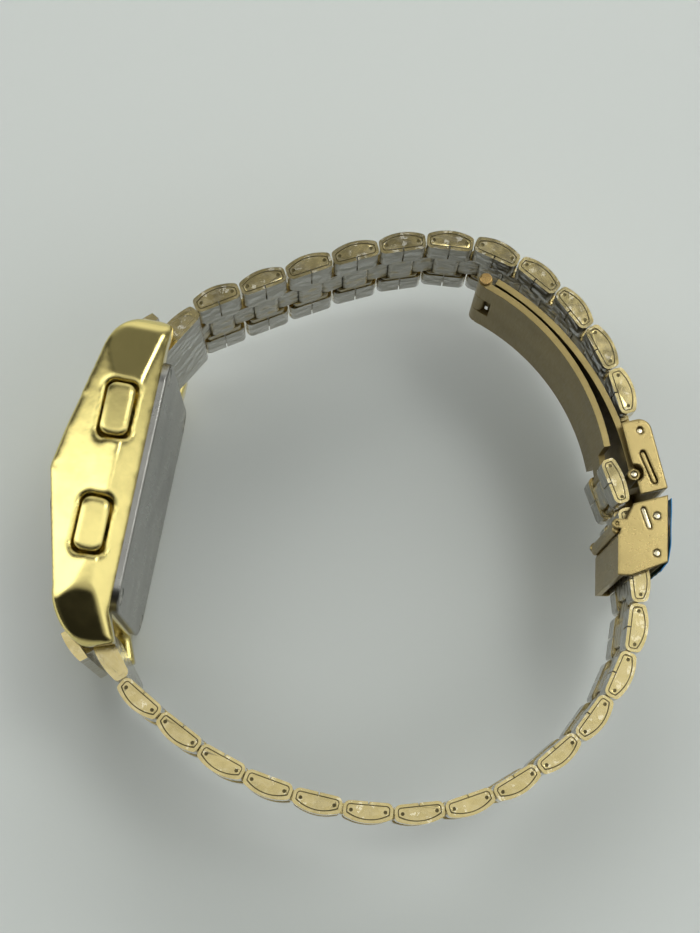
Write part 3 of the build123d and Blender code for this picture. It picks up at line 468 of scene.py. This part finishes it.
def softened(node, name, edge, material, groove_painted_shade=None):
    """A CAD node's own mesh, merged, with its edges rounded, shown in the node's place.

    With groove given, the faces that lie flat a little under the piece's two flanks take that material,
    painted dark as the shade in the pressed line.
    """
    piece, mesh = copied(node, name, material)
    work = bmesh.new()
    work.from_mesh(mesh)
    bmesh.ops.remove_doubles(work, verts=work.verts, dist=MERGE_DISTANCE)
    bmesh.ops.dissolve_limit(
        work, angle_limit=FLAT_ANGLE, verts=work.verts, edges=work.edges, delimit={"NORMAL"},
    )
    for face in work.faces:
        face.smooth = True
    # The faces at the floor of the pressed line take the dark material: painted shade in the recess
    if groove_painted_shade:
        mesh.materials.append(groove_painted_shade)
        low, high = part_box(node)
        flank = max(-low[2], high[2])
        for face in work.faces:
            depth = flank - abs(face.calc_center_median().z)
            if abs(face.normal.z) > GROOVE_FACING and GROOVE_NEAR < depth < GROOVE_FAR:
                face.material_index = 1
    work.to_mesh(mesh)
    work.free()
    if edge:
        bevel = piece.modifiers.new("Edges", "BEVEL")
        bevel.width = edge
        bevel.segments = EDGE_SEGMENTS
        bevel.limit_method = "ANGLE"
        bevel.angle_limit = EDGE_ANGLE
        bevel.harden_normals = True
        bevel.use_clamp_overlap = True
    weighted = piece.modifiers.new("Shading", "WEIGHTED_NORMAL")
    weighted.keep_sharp = False
    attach(piece, BODY_OF[node])
    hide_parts(node)
    return piece


def outer_depth(points, mesh):
    """How deep each point lies under the mesh's convex hull: nothing on the outside, more in pockets.

    Each large face of the hull gives a plane that looks away from the points' middle. A plane that cuts the
    mesh is dropped, and a point's depth is its least distance from the rest.
    """
    hull = bmesh.new()
    hull.from_mesh(mesh)
    bmesh.ops.convex_hull(hull, input=hull.verts)
    centre = points.mean(axis=0)
    depth = np.full(len(points), np.inf)
    for face in hull.faces:
        if face.calc_area() <= HULL_FACE:
            continue
        normal, level = np.array(face.normal), face.normal.dot(face.verts[0].co)
        outward = 1 if level > normal @ centre else -1
        under = outward * (level - points @ normal)
        if under.min() > -HULL_SLACK:
            np.minimum(depth, under, out=depth)
    hull.free()
    return depth


def eased(node, name, step, depth, material):
    """A CAD node's own mesh, merged and cut fine, with its outer edges eased round by smoothing.

    Only points less than the given depth under the node's convex hull move, those in the lower half of it
    half as much, so pockets, bores and seats keep their shape. Flat faces stay flat, because their points
    only slide along them.
    """
    piece, mesh = copied(node, name, material)
    work = bmesh.new()
    work.from_mesh(mesh)
    bmesh.ops.remove_doubles(work, verts=work.verts, dist=MERGE_DISTANCE)
    for _ in range(CUT_ROUNDS):
        long = [edge for edge in work.edges if edge.calc_length() > step]
        if not long:
            break
        bmesh.ops.subdivide_edges(work, edges=long, cuts=1)
        bmesh.ops.triangulate(work, faces=[face for face in work.faces if len(face.verts) > 3])
    for face in work.faces:
        face.smooth = True
    work.to_mesh(mesh)
    work.free()
    points = np.empty(len(mesh.vertices) * 3)
    mesh.vertices.foreach_get("co", points)
    points = points.reshape(-1, 3)
    under = outer_depth(points, NODES[node].data)
    group = piece.vertex_groups.new(name="Outside")
    for share, near, far in ((1.0, -HULL_SLACK, depth * 0.5), (0.5, depth * 0.5, depth)):
        group.add(np.flatnonzero((under >= near) & (under < far)).tolist(), share, "REPLACE")
    smooth = piece.modifiers.new("Eased edges", "SMOOTH")
    smooth.vertex_group = "Outside"
    smooth.factor = 0.5
    smooth.iterations = SMOOTH_ROUNDS
    mesh.set_sharp_from_angle(angle=SHARP_ANGLE)
    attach(piece, BODY_OF[node])
    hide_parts(node)
    return piece


def peeled_film(name, material, thickness, lift):
    """The blue film on the slide's outer face, lifted from it towards its top.

    Along the slide, u, the film stands off the face by a lift that grows from nothing at the face's lower
    corner and levels off above it, and past the corner it falls along a straight tail. Across, z, sine waves
    of two lengths wrinkle it where it is loose, and a shorter one wrinkles the tail. Its x is held inside the
    CAD model's box.
    """
    along, across = FILM_STEPS_ALONG, FILM_STEPS_ACROSS
    u, z = np.meshgrid(
        np.linspace(FILM_TOP, FILM_END, along), np.linspace(-FILM_HALF, FILM_HALF, across), indexing="ij",
    )
    loose = np.clip((FILM_CORNER - u) / FILM_LOOSE_RUN, 0.0, 1.0)
    loose = loose * (2.0 - loose)
    past = np.clip((u - FILM_CORNER) / (FILM_END - FILM_CORNER), 0.0, 1.0)
    waves = 0.5 + 0.25 * np.sin(0.55 * z + 0.9 * u) + 0.25 * np.sin(1.7 * z - 1.1 * u)
    height = 0.55 * thickness / MM + lift / MM * loose * (0.72 + 0.28 * waves)
    height += 0.05 * past * np.sin(2.3 * z + 4.0 * u) - FILM_TAIL_DROP * past
    v = FILM_LEVEL + height
    angle = math.radians(SLIDE_ANGLE)
    x = SLIDE_POINT[0] + u * math.cos(angle) - v * math.sin(angle)
    y = SLIDE_POINT[1] + u * math.sin(angle) + v * math.cos(angle)
    x = np.minimum(x, CAD_HIGH.x / MM - 0.6 * thickness / MM)
    points = np.stack((x, y, z), axis=-1).reshape(-1, 3) * MM
    first = (np.arange(along - 1)[:, None] * across + np.arange(across - 1)[None, :]).ravel()
    faces = np.stack((first, first + 1, first + across + 1, first + across), axis=1)
    mesh = bpy.data.meshes.new(name)
    mesh.from_pydata(points.tolist(), [], faces.tolist())
    mesh.polygons.foreach_set("use_smooth", np.ones(len(faces), dtype=bool))
    mesh.materials.append(material)
    piece = bpy.data.objects.new(name, mesh)
    bpy.context.scene.collection.objects.link(piece)
    shell = piece.modifiers.new("Thickness", "SOLIDIFY")
    shell.thickness = thickness
    shell.offset = 0
    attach(piece, BODY_OF["protective_film"])
    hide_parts("protective_film")
    return piece


def paint(node, material):
    """A CAD node shown as it is, in a material."""
    mesh = NODES[node].data
    mesh.materials.clear()
    mesh.materials.append(material)


FINISH = None


def finishes():
    """The materials, made on the first call."""
    global FINISH
    if FINISH is None:
        FINISH = Finishes()
    return FINISH


# Operators

class WATCH_OT_finishes(bpy.types.Operator):
    """Makes the materials"""

    bl_idname = "watch.finishes"
    bl_label = "Finishes"

    def execute(self, context):
        colours = context.scene.watch_colours
        kit = finishes()
        polished, pale, brushed = (tuple(c) for c in (colours.polished, colours.pale, colours.brushed))
        kit.plated("case plate", polished, shade(polished, 0.88), (0.09, 0.2), edge=CASE_ROUND)
        # Link plate: faces turned into the wrist loop are painted greyer and darker, as a painted reflection
        # of the floor and painted shade
        kit.plated("link plate", pale, shade(pale, 0.9), (0.14, 0.3), inner=INNER_SHADE_AND_REFLECTION, film=True)
        # Painted shade: the dark colour of the floor of the line pressed into the links' flanks
        kit.plated("link groove", shade(pale, 0.32), shade(pale, 0.2), (0.4, 0.6))
        kit.brushed("clasp plate", brushed, shade(brushed, 0.82), CLASP_LINES, (0.24, 0.38), edge=CLASP_ROUND)
        kit.brushed("leaf plate", shade(brushed, 0.75), shade(brushed, 0.62), CLASP_LINES, (0.3, 0.45))
        kit.plated("pin brass", (0.66, 0.44, 0.17), (0.5, 0.32, 0.12), (0.2, 0.35))
        kit.brushed("pin steel", (0.66, 0.64, 0.58), (0.52, 0.5, 0.45), TURNED_LINES, (0.2, 0.36))
        kit.brushed(
            "pin pale", (0.74, 0.66, 0.46), (0.60, 0.52, 0.34), PIN_LINES, (0.16, 0.3), edge=PIN_ROUND,
        )
        kit.brushed("back steel", (0.38, 0.37, 0.34), (0.31, 0.30, 0.28), BACK_LINES, (0.24, 0.36))
        kit.speckled("seal rubber", (0.02, 0.02, 0.02), (0.03, 0.03, 0.03), 900.0, (0.6, 0.8), 0.02)
        kit.speckled("module plastic", (0.06, 0.06, 0.065), (0.045, 0.045, 0.05), 1200.0, (0.45, 0.6), 0.01)
        kit.speckled("circuit board", (0.03, 0.16, 0.06), (0.02, 0.11, 0.04), 700.0, (0.25, 0.4), 0.01)
        kit.speckled("display black", (0.012, 0.01, 0.012), (0.02, 0.012, 0.014), 500.0, (0.12, 0.2), 0.002)
        kit.speckled("led red", (0.55, 0.02, 0.02), (0.42, 0.015, 0.015), 800.0, (0.2, 0.3), 0.002)
        kit.speckled(
            "lens", (0.075, 0.004, 0.012), (0.06, 0.004, 0.012), 300.0, (0.03, 0.07), 0.0005,
            Coat_Weight=1.0, Coat_Roughness=0.02,
        )
        kit.speckled("blue film", (0.03, 0.25, 0.52), (0.02, 0.18, 0.40), 240.0, (0.12, 0.25), 0.02)
        return {"FINISHED"}


class WATCH_OT_case(bpy.types.Operator):
    """Finishes the case, its back, the module and the window"""

    bl_idname = "watch.case"
    bl_label = "Case"

    def execute(self, context):
        sizes, made = context.scene.watch_sizes, finishes().made
        eased("case_body", "case_shell", sizes.case_step, sizes.case_depth, made["case plate"])
        for node in ("pusher_upper", "pusher_lower"):
            softened(node, f"{node}_cap", 0, made["case plate"])
        for finish, nodes in CASE_FINISHES.items():
            for node in nodes:
                paint(node, made[finish])
        return {"FINISHED"}


class WATCH_OT_bracelet(bpy.types.Operator):
    """Finishes the end links and the links"""

    bl_idname = "watch.bracelet"
    bl_label = "Bracelet"

    def execute(self, context):
        sizes, made = context.scene.watch_sizes, finishes().made
        plate, groove_painted_shade = made["link plate"], made["link groove"]
        for node in sorted(NODES):
            if "_link_" in node:
                softened(node, f"{node}_plated", sizes.link_edge, plate, groove_painted_shade=groove_painted_shade)
        return {"FINISHED"}


class WATCH_OT_clasp(bpy.types.Operator):
    """Finishes the clasp box, the leaves and the slide, and makes the blue film"""

    bl_idname = "watch.clasp"
    bl_label = "Clasp"

    def execute(self, context):
        sizes, made = context.scene.watch_sizes, finishes().made
        for finish, nodes in CLASP_FINISHES.items():
            for node in nodes:
                softened(node, f"{node}_plated", sizes.clasp_edge, made[finish])
        peeled_film("loose_film", made["blue film"], sizes.film_thickness, sizes.film_lift)
        return {"FINISHED"}


class WATCH_OT_stage(bpy.types.Operator):
    """Makes the floor, the light and the camera"""

    bl_idname = "watch.stage"
    bl_label = "Stage"

    def room(self, tree, direction):
        """The room's brightness by direction, which the polished plate mirrors.

        A bright ceiling fades towards the far wall and the front, and the far wall brightens again lower
        down. A pane stands on the left and a small lamp overhead. All of it is nearly dark in front, above
        the horizon, and a little dimmer towards the floor.
        """
        split = add(tree, "ShaderNodeSeparateXYZ", Vector=direction)
        across, along, up = split.outputs
        cloudy = add(tree, "ShaderNodeTexNoise", Vector=direction, Scale=3.2, Detail=2.0)
        drift = math_node(tree, "MULTIPLY_ADD", cloudy.outputs[0], 0.12, along)
        to_wall = ramp(tree, drift, 0.225, 0.31, CEILING_MOST, CEILING_LEAST)
        to_front = ramp(tree, along, 0.0, -0.08, 1.0, CEILING_IN_FRONT)
        ceiling = math_node(tree, "MULTIPLY", to_wall, to_front)
        far_wall = ramp(tree, along, 0.60, 0.85, 0.0, FAR_WALL_LEVEL)
        left = ramp(tree, across, -0.36, -0.52)
        pane = math_node(tree, "MULTIPLY", left, ramp(tree, drift, 0.245, 0.285, PANE_MOST, PANE_LEAST))
        aim = add(tree, "ShaderNodeVectorMath", operation="DOT_PRODUCT", i0=direction, i1=SPOT_DIRECTION)
        spot = ramp(tree, aim.outputs["Value"], 0.984, 0.993, 0.0, SPOT_LEVEL)
        sources = math_node(tree, "ADD", pane, spot)
        lit = math_node(tree, "ADD", math_node(tree, "ADD", ceiling, far_wall), sources)
        in_front = math_node(tree, "MULTIPLY", ramp(tree, along, -0.14, -0.30), ramp(tree, up, 0.05, 0.3))
        dimmed = math_node(tree, "MULTIPLY", lit, ramp(tree, in_front, 0.0, 1.0, 1.0, FRONT_SHARE))
        return math_node(tree, "MULTIPLY", dimmed, ramp(tree, up, -0.1, 0.6, LOW_SHARE, 1.0))

    def make_floor(self, scene):
        """A pale square, level with the watch's lowest point."""
        half, level = scene.watch_sizes.floor_half, CAD_LOW.z
        mesh = bpy.data.meshes.new("floor")
        corners = [(-half, -half, level), (half, -half, level), (half, half, level), (-half, half, level)]
        mesh.from_pydata(corners, [], [(0, 1, 2, 3)])
        floor = bpy.data.objects.new("floor", mesh)
        scene.collection.objects.link(floor)
        material = bpy.data.materials.new("pale surface")
        material.use_nodes = True
        shader = material.node_tree.nodes["Principled BSDF"]
        shader.inputs["Base Color"].default_value = (*scene.watch_colours.floor, 1)
        shader.inputs["Roughness"].default_value = FLOOR_ROUGHNESS
        mesh.materials.append(material)

    def make_room(self, scene):
        """The room all round as the world, with an even backdrop where the camera sees it."""
        world = bpy.data.worlds.new("room") if scene.world is None else scene.world
        scene.world = world
        world.use_nodes = True
        tree = world.node_tree
        tree.nodes.clear()
        ground = tree.nodes.new("ShaderNodeBackground")
        out = tree.nodes.new("ShaderNodeOutputWorld")
        where = tree.nodes.new("ShaderNodeTexCoord")
        ground.inputs[0].default_value = ROOM_TINT
        level = self.room(tree, where.outputs["Generated"])
        rays = tree.nodes.new("ShaderNodeLightPath")
        straight, through = rays.outputs["Is Camera Ray"], rays.outputs["Is Transmission Ray"]
        seen = math_node(tree, "MULTIPLY_ADD", straight, 1.0, through)
        unseen = math_node(tree, "SUBTRACT", 1.0, math_node(tree, "MINIMUM", seen, 1.0))
        backdrop = math_node(tree, "MULTIPLY", seen, BACKDROP_LEVEL)
        tree.links.new(math_node(tree, "MULTIPLY_ADD", level, unseen, backdrop), ground.inputs[1])
        tree.links.new(ground.outputs[0], out.inputs[0])

    def make_lamps(self, scene):
        """Two soft lamps, which the plate doesn't mirror."""
        for name, place, side, power in LAMPS:
            data = bpy.data.lights.new(name, "AREA")
            data.shape = "SQUARE"
            data.size = side
            data.energy = power
            lamp = bpy.data.objects.new(name, data)
            lamp.location = place
            lamp.rotation_euler = (Vector(LAMP_AIM) - Vector(place)).to_track_quat("-Z", "Y").to_euler()
            lamp.visible_glossy = False
            scene.collection.objects.link(lamp)

    def make_camera(self, scene):
        """The camera, looking down on the watch's side."""
        data = bpy.data.cameras.new("camera")
        data.sensor_width = CAMERA_SENSOR
        data.lens = CAMERA_LENS
        data.clip_start = CAMERA_NEAR
        camera = bpy.data.objects.new("camera", data)
        columns = zip(CAMERA_RIGHT, CAMERA_UP, CAMERA_BACK, CAMERA_PLACE)
        camera.matrix_world = Matrix([*columns, (0, 0, 0, 1)])
        scene.collection.objects.link(camera)
        scene.camera = camera

    def execute(self, context):
        scene = context.scene
        self.make_floor(scene)
        self.make_room(scene)
        self.make_lamps(scene)
        self.make_camera(scene)
        scene.view_settings.view_transform = "Standard"
        return {"FINISHED"}


class WATCH_PT_panel(bpy.types.Panel):
    """The sidebar's list of steps"""

    bl_idname = "WATCH_PT_panel"
    bl_label = "Watch"
    bl_space_type = "VIEW_3D"
    bl_region_type = "UI"
    bl_category = "Watch"

    def draw(self, context):
        for step in STEPS:
            self.layout.operator(step.bl_idname)


STEPS = (WATCH_OT_finishes, WATCH_OT_case, WATCH_OT_bracelet, WATCH_OT_clasp, WATCH_OT_stage)
CLASSES = (WatchSizes, WatchColours, *STEPS, WATCH_PT_panel)


def register():
    """Registers the classes and the scene's two property groups."""
    for made in CLASSES:
        bpy.utils.register_class(made)
    bpy.types.Scene.watch_sizes = bpy.props.PointerProperty(type=WatchSizes)
    bpy.types.Scene.watch_colours = bpy.props.PointerProperty(type=WatchColours)


def unregister():
    """Takes back what register added."""
    del bpy.types.Scene.watch_colours
    del bpy.types.Scene.watch_sizes
    for made in reversed(CLASSES):
        bpy.utils.unregister_class(made)


def main():
    """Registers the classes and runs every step."""
    register()
    for step in STEPS:
        group, name = step.bl_idname.split(".")
        getattr(getattr(bpy.ops, group), name)()


if __name__ == "__main__":
    main()
